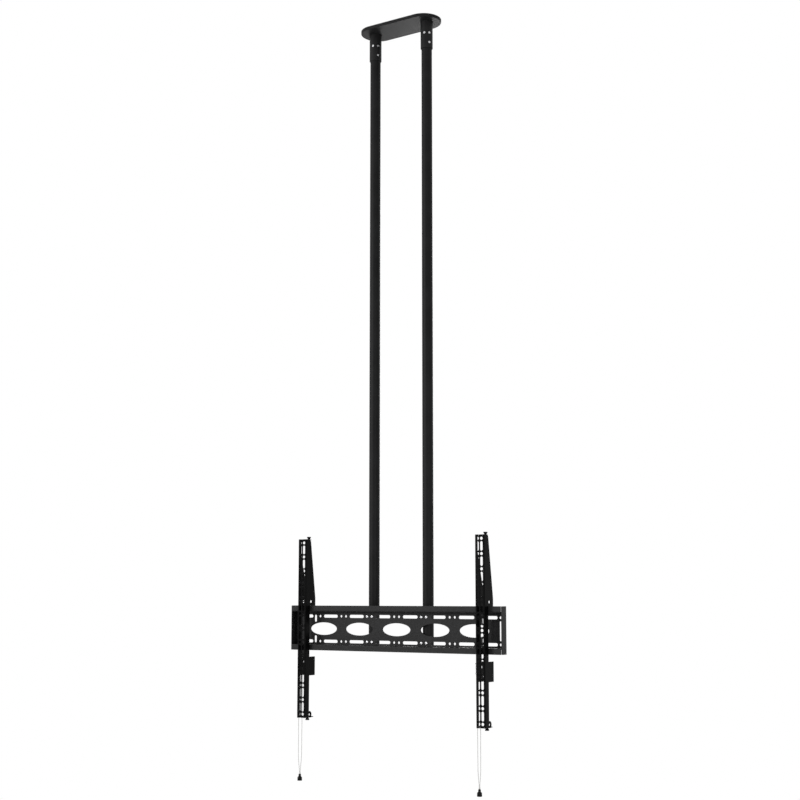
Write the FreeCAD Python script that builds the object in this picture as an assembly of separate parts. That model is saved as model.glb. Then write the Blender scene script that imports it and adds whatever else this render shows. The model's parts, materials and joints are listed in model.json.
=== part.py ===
# Ceiling mount for a large flat screen: a ceiling plate with two long poles, a slotted cross rail, and two
# slotted arms that hang on the rail and are locked to it by spring latches with pull cords.
# Millimetres. X runs along the rail, Y points away from the screen, Z is up.
# The origin is the centre of the ceiling plate's top face, so the whole mount hangs below zero.

import FreeCAD, Part
import math
import os

# Ceiling plate, and the thin cover that hides it
cover_length = 326.0
cover_width = 130.0
cover_height = 11.0
cover_wall = 1.5
cover_edge_radius = 3.0
cover_ceiling_gap = 0.4
cover_plate_clearance = 0.4
cover_socket_clearance = 1.5
plate_thickness = 4.0
ceiling_slot_spacing_x = 140.0
ceiling_slot_spacing_y = 72.0
ceiling_slot_length = 24.0
ceiling_slot_width = 9.0

# Poles and the sockets that hold them
pole_spacing = 224.0
pole_diameter = 38.0
pole_wall = 2.0
pole_top_gap = 8.0
pole_below_rail_middle = 70.0
socket_diameter = 44.0
socket_clearance = 0.2
socket_length = 109.0
socket_mouth_chamfer = 1.0
pole_plug_rim = 3.0
pole_plug_depth = 12.0
pole_plug_clearance = 0.1

# Set screws that clamp each pole in its socket
set_screw_diameter = 8.0
set_screw_length = 3.7
set_screw_proud = 0.7
set_screw_key = 4.0
set_screw_key_depth = 2.2
set_screw_clearance = 0.1
set_screw_high_drop = 58.0
set_screw_low_drop = 94.0
set_screw_front_angle = 9.0
set_screw_side_angle = 59.0

# Cross rail, folded from one sheet: a web, two flanges, two lips and two end flanges
rail_middle_drop = 2190.0
rail_length = 864.0
rail_sheet = 2.5
rail_bend = 1.5
rail_depth = 33.0
rail_top_edge = 81.5
rail_bottom_edge = 75.0
rail_top_lip = 21.0
rail_bottom_lip = 20.0
rail_end_relief = 0.6
rail_end_corner = 3.0
rail_row_height = 44.0
rail_slot_length = 61.0
rail_slot_width = 10.7
rail_outer_slot_inset = 54.0
rail_outer_slot_length = 42.0
rail_pair_gap = 20.0
rail_hole_diameter = 8.6
rail_end_hole_inset = 22.0
rail_end_slot_length = 65.0
rail_end_slot_width = 7.0
rail_short_slot_length = 25.0
rail_short_slot_width = 9.5
rail_window_length = 114.0
rail_window_height = 44.0
rail_window_inner_place = 156.0
rail_window_outer_place = 310.0

# Saddles that join the poles to the rail, and their bolts
saddle_width = 44.0
saddle_height = 22.0
saddle_nose = 6.5
saddle_wrap = 11.0
saddle_seat_clearance = 0.05
saddle_corner = 3.0
bolt_diameter = 6.0
bolt_hole_diameter = 6.6
bolt_seat_clearance = 0.1
bolt_reach = 7.0
bolt_head_diameter = 10.5
bolt_head_height = 3.3
bolt_head_crown_share = 0.8
bolt_key = 4.0
bolt_key_depth = 2.0

# Arms, each folded from one sheet
arm_end_inset = 66.4
arm_length = 626.0
arm_middle_above_rail = 3.3
arm_sheet = 2.0
arm_bend = 0.6
arm_width = 35.0
arm_stand_off = 24.5
arm_seat_clearance = 0.3
arm_deep = 57.0
arm_top_depth = 27.5
arm_top_corner = 12.0
arm_left_top_depth = 15.5
arm_left_top_length = 56.0
arm_left_top_corner = 5.0
arm_left_foot_depth = 15.5
arm_taper_corner = 20.0
arm_taper_end = 107.0
arm_hook_drop = 14.0
arm_hook_corner = 7.0
arm_tab_below_lip = 23.0
arm_tab_height = 65.5
arm_tab_corner = 2.0
arm_hole_pitch = 50.0
arm_hole_count = 13
arm_hole_diameter = 10.5
arm_slot_length = 31.0
arm_slot_width = 9.8
arm_left_column = 10.0
arm_right_column = 24.5
arm_side_hole_diameter = 10.0
arm_side_hole_depth = 32.0
arm_side_hole_drop = 221.0
arm_ear_radius = 12.0
arm_ear_depth = 27.5
arm_ear_rise = 10.5
arm_ear_hole = 8.0
arm_ear_foot_share = 0.9

# Folded end tongues of the arms, and their rubber buffers
tongue_width = 14.0
tongue_place = 4.0
tongue_top_reach = 43.0
tongue_bottom_reach = 62.0
tongue_relief = 1.5
tongue_relief_height = 5.0
tongue_root = 8.0
tongue_end_radius = 5.0
tongue_bend = 1.0
buffer_depth = 33.5
buffer_height = 9.5
buffer_diameter = 14.0
buffer_neck = 8.6
buffer_neck_height = 2.0
buffer_rim = 2.4
buffer_rounding = 1.0
buffer_seat_gap = 0.1
buffer_barb_taper = 0.6
buffer_stem = 4.0
buffer_stem_clearance = 0.1
buffer_barb_height = 2.0
buffer_barb_diameter = 6.4

# Latches: a plate that slides on two rivets outside each arm's left flange and hooks behind the lower lip
latch_sheet = 2.5
latch_clearance = 0.3
latch_travel = 12.0
latch_lip_clearance = 0.6
latch_neck_width = 12.4
latch_hook_overlap = 10.0
latch_nose_fall = 11.0
latch_nose_tip = 1.2
latch_nose_corner = 2.5
latch_top_below_tab = 3.0
latch_bottom_above_tab = 5.0
latch_front = 9.0
latch_rear = 51.0
latch_shoulder_drop = 28.0
latch_corner = 4.0
rivet_diameter = 5.0
rivet_slot_clearance = 0.15
rivet_head_diameter = 9.0
rivet_head_height = 1.6
rivet_head_crown_share = 0.6
rivet_tail_diameter = 7.4
rivet_upper_drop = 18.0
rivet_lower_drop = 47.0
rivet_lower_depth = 44.5

# Latch spring and its two posts
spring_wire = 0.9
spring_diameter = 5.6
spring_turns = 9
spring_place = 15.5
spring_top_drop = 7.5
spring_bottom_drop = 38.0
spring_side_gap = 0.5
spring_hook_length = 2.0
spring_hook_overlap = 0.05
spring_stem_share = 0.96
spring_bridge_coil_share = 0.33
spring_bridge_stem_share = 0.6
post_diameter = 3.0
post_head_diameter = 5.0
post_head_height = 1.2
post_clearance = 0.1

# Pull cords: a loop over a bobbin on the latch plate, tied in a knot above a bell-shaped pull
cord_diameter = 2.2
bobbin_groove_diameter = 17.0
bobbin_flange_diameter = 22.0
bobbin_flange = 1.0
bobbin_groove_width = 2.8
bobbin_depth = 27.5
bobbin_drop = 51.5
bobbin_shank = 6.0
cord_seat_clearance = 0.1
cord_straight_end = -440.0
cord_bend_share = 0.45
cord_closing_points = ((6.6, -468.0), (2.9, -488.0), (1.5, -499.7))
knot_diameter = 6.4
knot_height = 6.0
knot_end_share = 0.86
pull_neck_diameter = 8.8
pull_neck_height = 8.0
pull_shoulder_diameter = 16.0
pull_shoulder_height = 11.0
pull_mouth_diameter = 16.8
pull_height = 23.0
pull_rounding = 2.2
pull_lip = 1.2
pull_recess_depth = 6.0
pull_recess_diameter = 12.0

# Places that follow from the sizes above
pole_radius = pole_diameter / 2
socket_bore_radius = pole_radius + socket_clearance
web_back = -(pole_radius + saddle_nose)
web_front = web_back - rail_sheet
lip_front = web_front - rail_depth
lip_back = lip_front + rail_sheet
arm_front = lip_front - arm_stand_off
arm_top = -rail_middle_drop + arm_middle_above_rail + arm_length / 2
arm_bottom = arm_top - arm_length
rail_top = -rail_middle_drop + rail_top_edge
rail_bottom = -rail_middle_drop - rail_bottom_edge
tab_top = rail_bottom - arm_tab_below_lip
tab_bottom = tab_top - arm_tab_height
flange_outside = -arm_width / 2
latch_inside = flange_outside - latch_clearance
latch_outside = latch_inside - latch_sheet
arm_place = rail_length / 2 - arm_end_inset
arm_places = {"left": -arm_place, "right": arm_place}
pole_places = {"left": -pole_spacing / 2, "right": pole_spacing / 2}


def vec(x, y, z):
    return FreeCAD.Vector(x, y, z)


def box(x_low, x_high, y_low, y_high, z_low, z_high):
    return Part.makeBox(x_high - x_low, y_high - y_low, z_high - z_low, vec(x_low, y_low, z_low))


def rod(radius, start, end):
    along = end - start
    return Part.makeCylinder(radius, along.Length, start, along)


def hexagon_prism(flats, start, end):
    """A six-sided bar between two points that lie on a line along Y or across Z."""
    along = end - start
    side = along.cross(vec(0, 0, 1)).normalize()
    up = side.cross(along).normalize()
    corners = []
    for index in range(6):
        angle = math.radians(60 * index)
        reach = flats / math.sqrt(3)
        corners.append(start + side * (reach * math.cos(angle)) + up * (reach * math.sin(angle)))
    return Part.Face(Part.makePolygon(corners + corners[:1])).extrude(along)


def rounded_face(corners, radii):
    """A flat face from a closed outline, with each corner rounded to its own radius."""
    edges = []
    starts = []
    ends = []
    middles = []
    count = len(corners)
    for index, corner in enumerate(corners):
        back = (corners[index - 1] - corner).normalize()
        ahead = (corners[(index + 1) % count] - corner).normalize()
        radius = radii[index]
        if radius <= 0:
            starts.append(corner)
            ends.append(corner)
            middles.append(None)
            continue
        half = back.getAngle(ahead) / 2
        reach = radius / math.tan(half)
        centre = corner + (back + ahead).normalize() * (radius / math.sin(half))
        starts.append(corner + back * reach)
        ends.append(corner + ahead * reach)
        middles.append(centre + (corner - centre).normalize() * radius)
    for index in range(count):
        if middles[index] is not None:
            edges.append(Part.Arc(starts[index], middles[index], ends[index]).toShape())
        following = starts[(index + 1) % count]
        if (following - ends[index]).Length > 1e-6:
            edges.append(Part.LineSegment(ends[index], following).toShape())
    return Part.Face(Part.Wire(edges))


def folded_strip(points, thickness, bend, normal):
    """A flat face of sheet metal's section that follows a line of points and is bent at each."""
    left = []
    right = []
    turns = []
    last = len(points) - 1
    for index, point in enumerate(points):
        before = point - points[max(index - 1, 0)]
        after = points[min(index + 1, last)] - point
        before = after if before.Length == 0 else before
        after = before if after.Length == 0 else after
        before = vec(before.x, before.y, before.z).normalize()
        after = vec(after.x, after.y, after.z).normalize()
        side = normal.cross(before) + normal.cross(after)
        side = side.normalize() * (thickness / 2 / math.cos(before.getAngle(after) / 2))
        left.append(point + side)
        right.append(point - side)
        turns.append(normal.dot(before.cross(after)))
    inner = bend
    outer = bend + thickness
    left_radii = [0 if abs(turn) < 1e-6 else (inner if turn > 0 else outer) for turn in turns]
    right_radii = [0 if abs(turn) < 1e-6 else (outer if turn > 0 else inner) for turn in turns]
    return rounded_face(left + right[::-1], left_radii + right_radii[::-1])


def stadium_face(length, width, z):
    """A flat face with half-round ends, lying level and centred on the Z axis."""
    radius = width / 2
    straight = length / 2 - radius
    edges = []
    for side in (1, -1):
        low = vec(side * straight, -side * radius, z)
        high = vec(side * straight, side * radius, z)
        edges.append(Part.Arc(low, vec(side * length / 2, 0, z), high).toShape())
        edges.append(Part.LineSegment(high, vec(-side * straight, side * radius, z)).toShape())
    return Part.Face(Part.Wire(edges))


def slot_along(first, second, width, through):
    """A cutter for a slot between the centres of its two round ends, cut in the direction given."""
    run = second - first
    side = through.cross(run).normalize() * (width / 2)
    corners = [first + side, second + side, second - side, first - side]
    body = Part.Face(Part.makePolygon(corners + corners[:1])).extrude(through)
    for centre in (first, second):
        body = body.fuse(rod(width / 2, centre, centre + through))
    return body


def turned(profile, centre, axis, side):
    """A turned solid: the profile lists how far out and how far along each corner lies, and its rounding."""
    corners = [centre + side * out + axis * along for out, along, rounding in profile]
    face = rounded_face(corners, [rounding for out, along, rounding in profile])
    return face.revolve(centre, axis, 360)


def ceiling_plate():
    inset = cover_wall + cover_plate_clearance
    plate = stadium_face(cover_length - 2 * inset, cover_width - 2 * inset, 0)
    plate = plate.extrude(vec(0, 0, -plate_thickness))
    reach = (ceiling_slot_length - ceiling_slot_width) / 2
    for x_side in (-1, 1):
        for y_side in (-1, 1):
            x = x_side * ceiling_slot_spacing_x / 2
            y = y_side * ceiling_slot_spacing_y / 2
            plate = plate.cut(slot_along(vec(x - reach, y, 1), vec(x + reach, y, 1), ceiling_slot_width,
                                         vec(0, 0, -plate_thickness - 2)))
    return plate


def ceiling_cover():
    outside = stadium_face(cover_length, cover_width, -cover_ceiling_gap)
    outside = outside.extrude(vec(0, 0, cover_ceiling_gap - cover_height))
    low_edges = [edge for edge in outside.Edges if abs(edge.BoundBox.ZMax + cover_height) < 1e-6]
    outside = outside.makeFillet(cover_edge_radius, low_edges)
    inside = stadium_face(cover_length - 2 * cover_wall, cover_width - 2 * cover_wall, 0)
    inside = inside.extrude(vec(0, 0, cover_wall - cover_height))
    low_edges = [edge for edge in inside.Edges if abs(edge.BoundBox.ZMax - cover_wall + cover_height) < 1e-6]
    inside = inside.makeFillet(cover_edge_radius - cover_wall, low_edges)
    cover = outside.cut(inside)
    hole_radius = socket_diameter / 2 + cover_socket_clearance
    for x in pole_places.values():
        cover = cover.cut(rod(hole_radius, vec(x, 0, 0), vec(x, 0, -cover_height - 1)))
    return cover


def set_screw_lines():
    """The drop below the ceiling and the angle from the front of each set screw in a socket."""
    return ((set_screw_high_drop, set_screw_front_angle),
            (set_screw_high_drop, set_screw_side_angle),
            (set_screw_low_drop, set_screw_side_angle))


def outward(angle):
    turn = math.radians(angle)
    return vec(math.sin(turn), -math.cos(turn), 0)


def socket(x):
    top = vec(x, 0, -plate_thickness)
    mouth = vec(x, 0, -plate_thickness - socket_length)
    body = rod(socket_diameter / 2, top, mouth)
    body = body.makeChamfer(socket_mouth_chamfer, [edge for edge in body.Edges
                                                   if abs(edge.BoundBox.ZMax - mouth.z) < 1e-6])
    body = body.cut(rod(socket_bore_radius, top + vec(0, 0, 1), mouth - vec(0, 0, 1)))
    for drop, angle in set_screw_lines():
        middle = vec(x, 0, -drop)
        hole_radius = set_screw_diameter / 2 + set_screw_clearance
        body = body.cut(rod(hole_radius, middle, middle + outward(angle) * socket_diameter))
    return body


def set_screws(x):
    """Three short screws with a hexagon recess, their points just short of the pole."""
    screws = []
    outer = socket_diameter / 2 + set_screw_proud
    for drop, angle in set_screw_lines():
        middle = vec(x, 0, -drop)
        out = outward(angle)
        screw = rod(set_screw_diameter / 2, middle + out * (outer - set_screw_length), middle + out * outer)
        circles = [edge for edge in screw.Edges if edge.Curve.TypeId == "Part::GeomCircle"]
        rim = [edge for edge in circles if (edge.Curve.Center - middle).Length > outer - 0.01]
        screw = screw.makeChamfer(set_screw_proud / 2, rim)
        recess_floor = middle + out * (outer - set_screw_key_depth)
        screws.append(screw.cut(hexagon_prism(set_screw_key, recess_floor, middle + out * (outer + 1))))
    return Part.makeCompound(screws)


def pole(x):
    top = vec(x, 0, -plate_thickness - pole_top_gap)
    bottom = vec(x, 0, -rail_middle_drop - pole_below_rail_middle)
    return rod(pole_radius, top, bottom).cut(rod(pole_radius - pole_wall, top, bottom))


def pole_plug(x):
    mouth = vec(x, 0, -rail_middle_drop - pole_below_rail_middle)
    rim = rod(pole_radius, mouth, mouth - vec(0, 0, pole_plug_rim))
    low = [edge for edge in rim.Edges if abs(edge.BoundBox.ZMax - mouth.z + pole_plug_rim) < 1e-6]
    rim = rim.makeFillet(pole_plug_rim / 2, low)
    plug_radius = pole_radius - pole_wall - pole_plug_clearance
    body = rim.fuse(rod(plug_radius, mouth, mouth + vec(0, 0, pole_plug_depth)))
    hollow = rod(plug_radius - pole_wall, mouth, mouth + vec(0, 0, pole_plug_depth + 1))
    return body.cut(hollow)


def rail_slot(x, z, length, width):
    reach = (length - width) / 2
    return slot_along(vec(x - reach, web_back + 1, z), vec(x + reach, web_back + 1, z), width,
                      vec(0, -rail_sheet - 2, 0))


def rail_upright_slot(x, z, length, width):
    reach = (length - width) / 2
    return slot_along(vec(x, web_back + 1, z - reach), vec(x, web_back + 1, z + reach), width,
                      vec(0, -rail_sheet - 2, 0))


def rail_hole(x, z, diameter):
    return rod(diameter / 2, vec(x, web_back + 1, z), vec(x, web_front - 1, z))


def rail_window(x):
    half_long = rail_window_length / 2
    half_high = rail_window_height / 2
    ellipse = Part.Ellipse(vec(0, 0, 0), half_long, half_high)
    face = Part.Face(Part.Wire(ellipse.toShape()))
    face.rotate(vec(0, 0, 0), vec(1, 0, 0), 90)
    face.translate(vec(x, web_back + 1, -rail_middle_drop))
    return face.extrude(vec(0, -rail_sheet - 2, 0))


def rail_plate():
    """Web, flanges and lips are one folded strip, and a flange is folded forward at each end."""
    web = web_front + rail_sheet / 2
    lip = lip_front + rail_sheet / 2
    top_flange = rail_top - rail_top_lip + rail_sheet / 2
    bottom_flange = rail_bottom + rail_bottom_lip - rail_sheet / 2
    end_inside = rail_length / 2 - rail_sheet - rail_end_relief
    section = [(lip, rail_top), (lip, top_flange), (web, top_flange), (web, bottom_flange),
               (lip, bottom_flange), (lip, rail_bottom)]
    line = [vec(-end_inside, y, z) for y, z in section]
    rail = folded_strip(line, rail_sheet, rail_bend, vec(1, 0, 0)).extrude(vec(2 * end_inside, 0, 0))
    pitch = pole_spacing / 2
    outer_slot_place = rail_length / 2 - rail_outer_slot_inset
    end_hole_place = rail_length / 2 - rail_end_hole_inset
    cutters = []
    for row in (-1, 1):
        z = -rail_middle_drop + row * rail_row_height
        for step in (-2.5, -1.5, -0.5, 0.5, 1.5, 2.5):
            cutters.append(rail_slot(step * pitch, z, rail_slot_length, rail_slot_width))
        for step in (-3, -2, -1, 0, 1, 2, 3):
            diameter = bolt_hole_diameter if abs(step) == 1 else rail_hole_diameter
            for side in (-1, 1):
                cutters.append(rail_hole(step * pitch + side * rail_pair_gap / 2, z, diameter))
        for side in (-1, 1):
            cutters.append(rail_slot(side * outer_slot_place, z, rail_outer_slot_length, rail_slot_width))
            cutters.append(rail_hole(side * end_hole_place, z, rail_hole_diameter))
            short_x = side * (3 * pitch + rail_pair_gap / 2)
            short_z = z - row * (rail_short_slot_length - rail_short_slot_width) / 2
            cutters.append(rail_upright_slot(short_x, short_z, rail_short_slot_length, rail_short_slot_width))
    for side in (-1, 1):
        cutters.append(rail_upright_slot(side * end_hole_place, -rail_middle_drop, rail_end_slot_length,
                                         rail_end_slot_width))
        cutters.append(rail_window(side * rail_window_inner_place))
        cutters.append(rail_window(side * rail_window_outer_place))
    cutters.append(rail_window(0))
    rail = rail.cut(cutters)
    for side in (-1, 1):
        rail = rail.fuse(rail_end(side))
    return rail.removeSplitter()


def rail_end(side):
    """An end flange as tall as the lips, bent forward out of the web as far as their inner faces."""
    outer = side * rail_length / 2
    middle = outer - side * rail_sheet / 2
    start = outer - side * (rail_sheet + rail_end_relief + rail_bend)
    web = web_front + rail_sheet / 2
    line = [vec(start, web, rail_bottom), vec(middle, web, rail_bottom), vec(middle, lip_back, rail_bottom)]
    fold = folded_strip(line, rail_sheet, rail_bend, vec(0, 0, 1))
    fold = fold.extrude(vec(0, 0, rail_top - rail_bottom))
    web_top = rail_top - rail_top_lip
    web_bottom = rail_bottom + rail_bottom_lip
    inner = outer - side * (rail_sheet + rail_bend)
    for low, high in ((rail_bottom - 1, web_bottom), (web_top, rail_top + 1)):
        x_low, x_high = sorted((start - side, inner))
        fold = fold.cut(box(x_low, x_high, web_front - 1, web_back + 1, low, high))
    corners = [edge for edge in fold.Edges
               if abs(edge.BoundBox.YMax - lip_back) < 1e-6 and edge.BoundBox.XLength > rail_sheet - 0.01]
    return fold.makeFillet(rail_end_corner, corners)


def bolt_points(x, row):
    z = -rail_middle_drop + row * rail_row_height
    return [vec(x + side * rail_pair_gap / 2, web_front, z) for side in (-1, 1)]


def saddle(x, row):
    """A block with a flat face against the web and a round seat that fits the pole."""
    z = -rail_middle_drop + row * rail_row_height
    half = saddle_width / 2
    body = box(x - half, x + half, web_back, web_back + saddle_nose + saddle_wrap, z - saddle_height / 2,
               z + saddle_height / 2)
    upright = [edge for edge in body.Edges if edge.BoundBox.ZLength > saddle_height - 0.1]
    body = body.makeFillet(saddle_corner, upright)
    seat_radius = pole_radius + saddle_seat_clearance
    body = body.cut(rod(seat_radius, vec(x, 0, z - saddle_height), vec(x, 0, z + saddle_height)))
    hole_radius = bolt_diameter / 2 + bolt_seat_clearance
    for point in bolt_points(x, row):
        body = body.cut(rod(hole_radius, point, point + vec(0, rail_sheet + bolt_reach + 1, 0)))
    return body


def rail_bolts(x):
    """Four button-head bolts with a hexagon recess, through the web into the two saddles of one pole."""
    bolts = []
    ahead = vec(0, -1, 0)
    for row in (-1, 1):
        for point in bolt_points(x, row):
            head_end = point + ahead * bolt_head_height
            head = rod(bolt_head_diameter / 2, point, head_end)
            crown = [edge for edge in head.Edges if edge.BoundBox.YMax < head_end.y + 1e-6]
            head = head.makeFillet(bolt_head_height * bolt_head_crown_share, crown)
            head = head.cut(hexagon_prism(bolt_key, head_end - ahead * bolt_key_depth, head_end + ahead))
            shank = rod(bolt_diameter / 2, point, point + vec(0, rail_sheet + bolt_reach, 0))
            bolts.append(head.fuse(shank).removeSplitter())
    return Part.makeCompound(bolts)


def arm_outline(top, top_radii, foot_depth):
    """The side view of one flange: a gusset that hooks over the top lip, and a deep tab below the lower one.
    The top's outline is given as depths and heights, from the front edge to the start of the taper."""
    def at(depth, z):
        return vec(0, arm_front + depth, z)
    narrow = arm_stand_off - arm_seat_clearance
    hook_slot = arm_stand_off + rail_sheet + arm_seat_clearance
    seat = rail_top + arm_seat_clearance
    taper_end = -rail_middle_drop + arm_taper_end
    hook_end = rail_top - arm_hook_drop
    corners = [at(depth, height) for depth, height in top]
    corners += [at(arm_deep, taper_end), at(arm_deep, hook_end), at(hook_slot, hook_end), at(hook_slot, seat),
                at(narrow, seat), at(narrow, tab_top), at(arm_deep, tab_top), at(arm_deep, tab_bottom),
                at(foot_depth, tab_bottom), at(foot_depth, arm_bottom), at(0, arm_bottom)]
    radii = list(top_radii)
    radii += [arm_taper_corner, arm_hook_corner, arm_tab_corner, 0, 0, 0, arm_tab_corner, arm_tab_corner, 0,
              arm_tab_corner, 0]
    return rounded_face(corners, radii)


def right_flange_outline():
    top = [(0, arm_top), (arm_top_depth, arm_top)]
    return arm_outline(top, [0, arm_top_corner], arm_stand_off - arm_seat_clearance)


def left_flange_outline():
    """The left flange is shallow at both ends, so the screen's screws can be reached from that side."""
    taper_start = arm_top - arm_left_top_length
    top = [(0, arm_top), (arm_left_top_depth, arm_top), (arm_left_top_depth, taper_start)]
    return arm_outline(top, [0, arm_left_top_corner, arm_taper_corner], arm_left_foot_depth)


def arm_column_holes(x):
    """Round holes at a fixed pitch with an upright slot between each two."""
    through = vec(0, arm_sheet + 2, 0)
    front = arm_front - 1
    margin = (arm_length - (arm_hole_count - 1) * arm_hole_pitch) / 2
    reach = (arm_slot_length - arm_slot_width) / 2
    cutters = []
    for index in range(arm_hole_count):
        z = arm_top - margin - index * arm_hole_pitch
        cutters.append(rod(arm_hole_diameter / 2, vec(x, front, z), vec(x, front, z) + through))
        if index < arm_hole_count - 1:
            middle = z - arm_hole_pitch / 2
            cutters.append(slot_along(vec(x, front, middle - reach), vec(x, front, middle + reach),
                                      arm_slot_width, through))
    return cutters


def tongue(x, edge, inward, reach):
    """A tongue folded back from an end of the arm's face, with a hole for its buffer."""
    sheet = arm_sheet / 2
    face = arm_front + sheet
    rear = arm_front + reach
    left = x + tongue_place - tongue_width / 2
    line = [vec(left, face, edge + inward * tongue_root), vec(left, face, edge + inward * sheet),
            vec(left, rear, edge + inward * sheet)]
    bent = folded_strip(line, arm_sheet, tongue_bend, vec(1, 0, 0)).extrude(vec(tongue_width, 0, 0))
    ends = [each for each in bent.Edges
            if abs(each.BoundBox.YMin - rear) < 1e-6 and each.BoundBox.ZLength > arm_sheet - 0.01]
    bent = bent.makeFillet(tongue_end_radius, ends)
    hole = buffer_point(x, edge)
    through = vec(0, 0, 2 * arm_sheet)
    return bent.cut(rod(buffer_stem / 2 + buffer_stem_clearance, hole - through, hole + through))


def buffer_point(x, edge):
    return vec(x + tongue_place, arm_front + buffer_depth, edge)


def arm(x):
    half = arm_width / 2
    line_x = half - arm_sheet / 2
    sheet = arm_front + arm_sheet / 2
    rear = arm_front + arm_deep
    section = [(-line_x, rear), (-line_x, sheet), (line_x, sheet), (line_x, rear)]
    line = [vec(x + out, y, arm_bottom) for out, y in section]
    channel = folded_strip(line, arm_sheet, arm_bend, vec(0, 0, 1)).extrude(vec(0, 0, arm_length))
    left_half = left_flange_outline().extrude(vec(half + 1, 0, 0))
    left_half.translate(vec(x - half - 1, 0, 0))
    right_half = right_flange_outline().extrude(vec(half + 1, 0, 0))
    right_half.translate(vec(x, 0, 0))
    body = channel.common(left_half).fuse(channel.common(right_half))
    relief = tongue_width / 2 + tongue_relief
    face_back = arm_front + arm_sheet
    middle = x + tongue_place
    for edge, inward in ((arm_top, -1), (arm_bottom, 1)):
        low, high = sorted((edge - inward, edge + inward * tongue_relief_height))
        body = body.cut(box(middle - relief, middle + relief, arm_front - 1, face_back + 1, low, high))
    ear_middle = vec(x + half, arm_front + arm_ear_depth, arm_bottom + arm_ear_rise)
    ear = rod(arm_ear_radius, ear_middle, ear_middle - vec(arm_sheet, 0, 0))
    ear_foot = arm_ear_radius * arm_ear_foot_share
    foot = box(x + half - arm_sheet, x + half, ear_middle.y - ear_foot, ear_middle.y + ear_foot, arm_bottom,
               ear_middle.z)
    ear = ear.fuse(foot).common(box(x, x + half, arm_front, rear, arm_bottom, arm_top))
    tongues = [tongue(x, arm_top, -1, tongue_top_reach), tongue(x, arm_bottom, 1, tongue_bottom_reach)]
    body = body.fuse([ear] + tongues)
    cutters = arm_column_holes(x - half + arm_left_column) + arm_column_holes(x - half + arm_right_column)
    side_z = arm_top - arm_side_hole_drop
    cutters.append(rod(arm_side_hole_diameter / 2, vec(x - half - 1, arm_front + arm_side_hole_depth, side_z),
                       vec(x + half + 1, arm_front + arm_side_hole_depth, side_z)))
    cutters.append(rod(arm_ear_hole / 2, ear_middle + vec(1, 0, 0), ear_middle - vec(arm_sheet + 1, 0, 0)))
    for point in rivet_points(x):
        cutters.append(rod(rivet_diameter / 2, point - vec(1, 0, 0), point + vec(arm_sheet + 1, 0, 0)))
    post = spring_post_points(x)[0]
    cutters.append(rod(post_diameter / 2, post - vec(1, 0, 0), post + vec(arm_sheet + 1, 0, 0)))
    return body.cut(cutters).removeSplitter()


def end_buffer(x, edge, away):
    """A rubber buffer on a tongue: flared outside, with a barbed stem through the tongue's hole."""
    up = vec(0, 0, away)
    seat = buffer_point(x, edge)
    neck = buffer_neck / 2
    rim = buffer_diameter / 2
    profile = [(0, 0, 0), (neck, 0, 0), (neck, buffer_neck_height, buffer_rounding),
               (rim, buffer_height - buffer_rim, buffer_rounding), (rim, buffer_height, buffer_rounding),
               (0, buffer_height, 0)]
    body = turned(profile, seat, up, vec(1, 0, 0))
    barb_seat = seat - up * (arm_sheet + buffer_seat_gap)
    stem = rod(buffer_stem / 2, seat + up, barb_seat)
    barb = Part.makeCone(buffer_barb_diameter / 2, buffer_stem / 2 - buffer_barb_taper, buffer_barb_height,
                         barb_seat, up * -1)
    return body.fuse([stem, barb]).removeSplitter()


def rivet_points(x):
    """Where the guide rivets enter the left flange's outer face."""
    upper_depth = latch_front_of_neck() + latch_neck_width / 2
    places = ((upper_depth, rivet_upper_drop), (rivet_lower_depth, rivet_lower_drop))
    return [vec(x + flange_outside, arm_front + depth, tab_top - drop) for depth, drop in places]


def latch_front_of_neck():
    return arm_stand_off + rail_sheet + latch_lip_clearance


def latch_plate(x):
    """A flat plate whose neck stands behind the rail's lower lip; its sloped nose lets it snap in."""
    def at(depth, z):
        return vec(x + latch_inside, arm_front + depth, z)
    neck_front = latch_front_of_neck()
    neck_rear = neck_front + latch_neck_width
    nose = rail_bottom + latch_hook_overlap
    top = tab_top - latch_top_below_tab
    shoulder = tab_top - latch_shoulder_drop
    bottom = tab_bottom + latch_bottom_above_tab
    corners = [at(neck_front, nose), at(neck_rear, nose - latch_nose_fall), at(neck_rear, top),
               at(latch_rear, top), at(latch_rear, bottom), at(latch_front, bottom),
               at(latch_front, shoulder), at(neck_front, shoulder)]
    radii = [latch_nose_tip, latch_nose_corner] + [latch_corner] * 5 + [latch_corner / 2]
    plate = rounded_face(corners, radii).extrude(vec(-latch_sheet, 0, 0))
    slot_width = rivet_diameter + 2 * rivet_slot_clearance
    through = vec(-latch_sheet - latch_clearance - 2, 0, 0)
    for point in rivet_points(x):
        start = point + vec(1, 0, 0)
        plate = plate.cut(slot_along(start, start + vec(0, 0, latch_travel), slot_width, through))
    bobbin = bobbin_point(x)
    plate = plate.cut(rod(bobbin_shank / 2, bobbin - vec(1, 0, 0), bobbin + vec(latch_sheet + 1, 0, 0)))
    post = spring_post_points(x)[1]
    return plate.cut(rod(post_diameter / 2, post - vec(1, 0, 0), post + vec(latch_sheet + 1, 0, 0)))


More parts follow.
